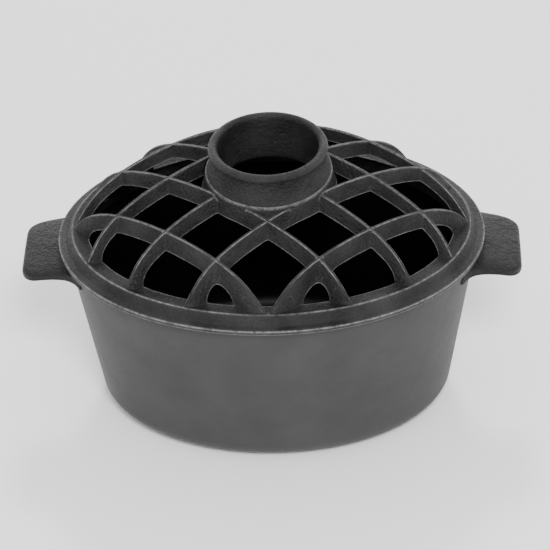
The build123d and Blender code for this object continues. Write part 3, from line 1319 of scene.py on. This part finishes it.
class FinishMaker:
    """Makes one material per finish from the shared node groups."""

    def __init__(self) -> None:
        """Makes the shared groups."""
        self.grain = cast_grain_group()
        self.wear = edge_highlight_group()
        self.made: dict[Coat, bpy.types.Material] = {}

    def material(self, coat: Coat) -> bpy.types.Material:
        """The material of a coat, made on first use.

        Args:
            coat: Which finish.

        Returns:
            The material.
        """
        if coat in self.made:
            return self.made[coat]
        finish = FINISHES[coat]
        material = bpy.data.materials.new(finish.coat.value)
        material.use_nodes = True
        kit = NodeKit(material.node_tree)
        shader = kit.nodes["Principled BSDF"]
        grain, wear = (kit.nodes.new("ShaderNodeGroup") for _ in range(2))
        grain.node_tree, wear.node_tree = self.grain, self.wear
        for name, value in (("Grain Size", finish.grain_size), ("Grain Depth", finish.grain_depth),
                            ("Pit Depth", finish.pit_depth), ("Wave Depth", finish.wave_depth)):
            grain.inputs[name].default_value = value
        cloud = kit.remap(kit.noise(CLOUD_SCALE, CLOUD_DETAIL, CLOUD_ROUGHNESS), CLOUD_RANGE)
        base = kit.mix(cloud.outputs[0], finish.dark, finish.light)
        # convex edges are mixed towards the lighter edge colour: a painted highlight on crests and
        # edges
        kit.links.new(kit.mix(wear.outputs["Mask"], base, finish.painted_highlight), shader.inputs["Base Color"])
        spread = (finish.roughness - finish.rough_spread, finish.roughness + finish.rough_spread)
        rough = kit.remap(grain.outputs["Mask"], ROUGH_RANGE, spread)
        kit.links.new(rough.outputs[0], shader.inputs["Roughness"])
        bump = kit.nodes.new("ShaderNodeBump")
        bump.inputs["Distance"].default_value = 1.0
        kit.links.new(grain.outputs["Height"], bump.inputs["Height"])
        kit.links.new(bump.outputs["Normal"], shader.inputs["Normal"])
        shader.inputs["Specular IOR Level"].default_value = finish.shine
        self.made[coat] = material
        return material


# ---------------------------------------------------------------------------
# stage
# ---------------------------------------------------------------------------


@dataclass(frozen=True)
class Lamp:
    """Soft rectangular light that points at the object. Lengths are in metres."""

    name: str
    place: tuple[float, float, float]
    size: tuple[float, float]
    watts: float


LAMPS = (
    Lamp("back", (0.0, 2.2, 0.4), (3.0, 0.5), 12.0),
    Lamp("top", (0.0, 1.5, 1.9), (0.4, 0.4), 24.0),
    Lamp("front", (0.3, -1.6, 1.9), (0.6, 0.5), 56.0),
)


@dataclass
class Studio:
    """Pale floor, soft lights and the camera. Lengths are in metres."""

    azimuth: float = 2.48
    elevation: float = 37.0
    roll: float = -2.29
    distance: float = 1.8548
    target_z: float = 0.0848
    shift_right: float = 0.0012
    lens: float = 196.4
    sensor: float = 36.0
    clip: tuple[float, float] = (0.05, 50.0)
    aim_z: float = 0.08
    floor_reach: float = 12.0
    floor_drop: float = 0.0003
    floor_rough: float = 0.9
    floor_tone: float = 0.96
    sky: float = 1.15

    def camera(self) -> None:
        """Makes the camera and sets it as the scene's own."""
        data = bpy.data.cameras.new("camera")
        data.lens = self.lens
        data.sensor_width = self.sensor
        data.clip_start, data.clip_end = self.clip
        camera = bpy.data.objects.new("camera", data)
        bpy.context.scene.collection.objects.link(camera)
        a, e, r = (math.radians(v) for v in (self.azimuth, self.elevation, self.roll))
        back = Vector((math.sin(a) * math.cos(e), -math.cos(a) * math.cos(e), math.sin(e)))
        right = Vector((math.cos(a), math.sin(a), 0.0))
        up = back.cross(right)
        turned_right = right * math.cos(r) + up * math.sin(r)
        turned_up = up * math.cos(r) - right * math.sin(r)
        place = Matrix((turned_right, turned_up, back)).transposed().to_4x4()
        target = Vector((0, 0, self.target_z)) + turned_right * self.shift_right
        place.translation = target + back * self.distance
        camera.matrix_world = place
        bpy.context.scene.camera = camera

    def area(self, lamp: Lamp) -> None:
        """Makes one light.

        Args:
            lamp: What the light is like.
        """
        data = bpy.data.lights.new(lamp.name, "AREA")
        data.shape = "RECTANGLE"
        data.size, data.size_y = lamp.size
        data.energy = lamp.watts
        light = bpy.data.objects.new(lamp.name, data)
        light.location = lamp.place
        light.rotation_mode = "QUATERNION"
        way = Vector((0, 0, self.aim_z)) - Vector(lamp.place)
        light.rotation_quaternion = way.to_track_quat("-Z", "Y")
        bpy.context.scene.collection.objects.link(light)

    def build(self) -> None:
        """Builds floor, sky, lights and camera."""
        mesh = MeshBuilder(weld=FLOOR_WELD)
        reach = self.floor_reach / MM
        gx, gy = np.meshgrid(*[np.linspace(-reach, reach, 3)] * 2)
        mesh.grid(np.stack([gx, gy, np.full_like(gx, -self.floor_drop / MM)], axis=-1))
        floor = mesh.build("floor")
        material = bpy.data.materials.new("pale_floor")
        material.use_nodes = True
        shader = material.node_tree.nodes["Principled BSDF"]
        shader.inputs["Base Color"].default_value = (self.floor_tone,) * 3 + (1.0,)
        shader.inputs["Roughness"].default_value = self.floor_rough
        floor.data.materials.append(material)
        world = bpy.data.worlds.new("sky")
        world.use_nodes = True
        sky = world.node_tree.nodes["Background"]
        sky.inputs["Color"].default_value = (1.0, 1.0, 1.0, 1.0)
        sky.inputs["Strength"].default_value = self.sky
        bpy.context.scene.world = world
        for lamp in LAMPS:
            self.area(lamp)
        self.camera()


def main() -> None:
    """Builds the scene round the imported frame."""
    logging.basicConfig(level=logging.INFO, format="%(message)s")
    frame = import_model()
    maker = FinishMaker()
    lid_nodes = sorted(n for n in frame["nodes"] if n == "lid_rim" or n.startswith("rib_"))
    lattice = LatticeLid().build()
    collar = Collar().build()
    skirt = Skirt().build()
    shell = Pot().build()
    left, right = Handle(Side.LEFT, LEFT_DROP).build(), Handle(Side.RIGHT, RIGHT_DROP).build()
    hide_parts(*lid_nodes)
    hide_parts("collar")
    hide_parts("pot")
    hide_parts("handle_left")
    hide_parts("handle_right")
    for piece, body, coats in ((lattice, "lid", [Coat.LID]), (collar, "lid", [Coat.LID]),
                               (skirt, "lid", [Coat.LID]), (shell, "pot", [Coat.POT, Coat.INSIDE]),
                               (left, "pot", [Coat.HANDLE]), (right, "pot", [Coat.HANDLE])):
        for coat in coats:
            piece.data.materials.append(maker.material(coat))
        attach(piece, body)
    Studio().build()


if __name__ == "__main__":
    main()
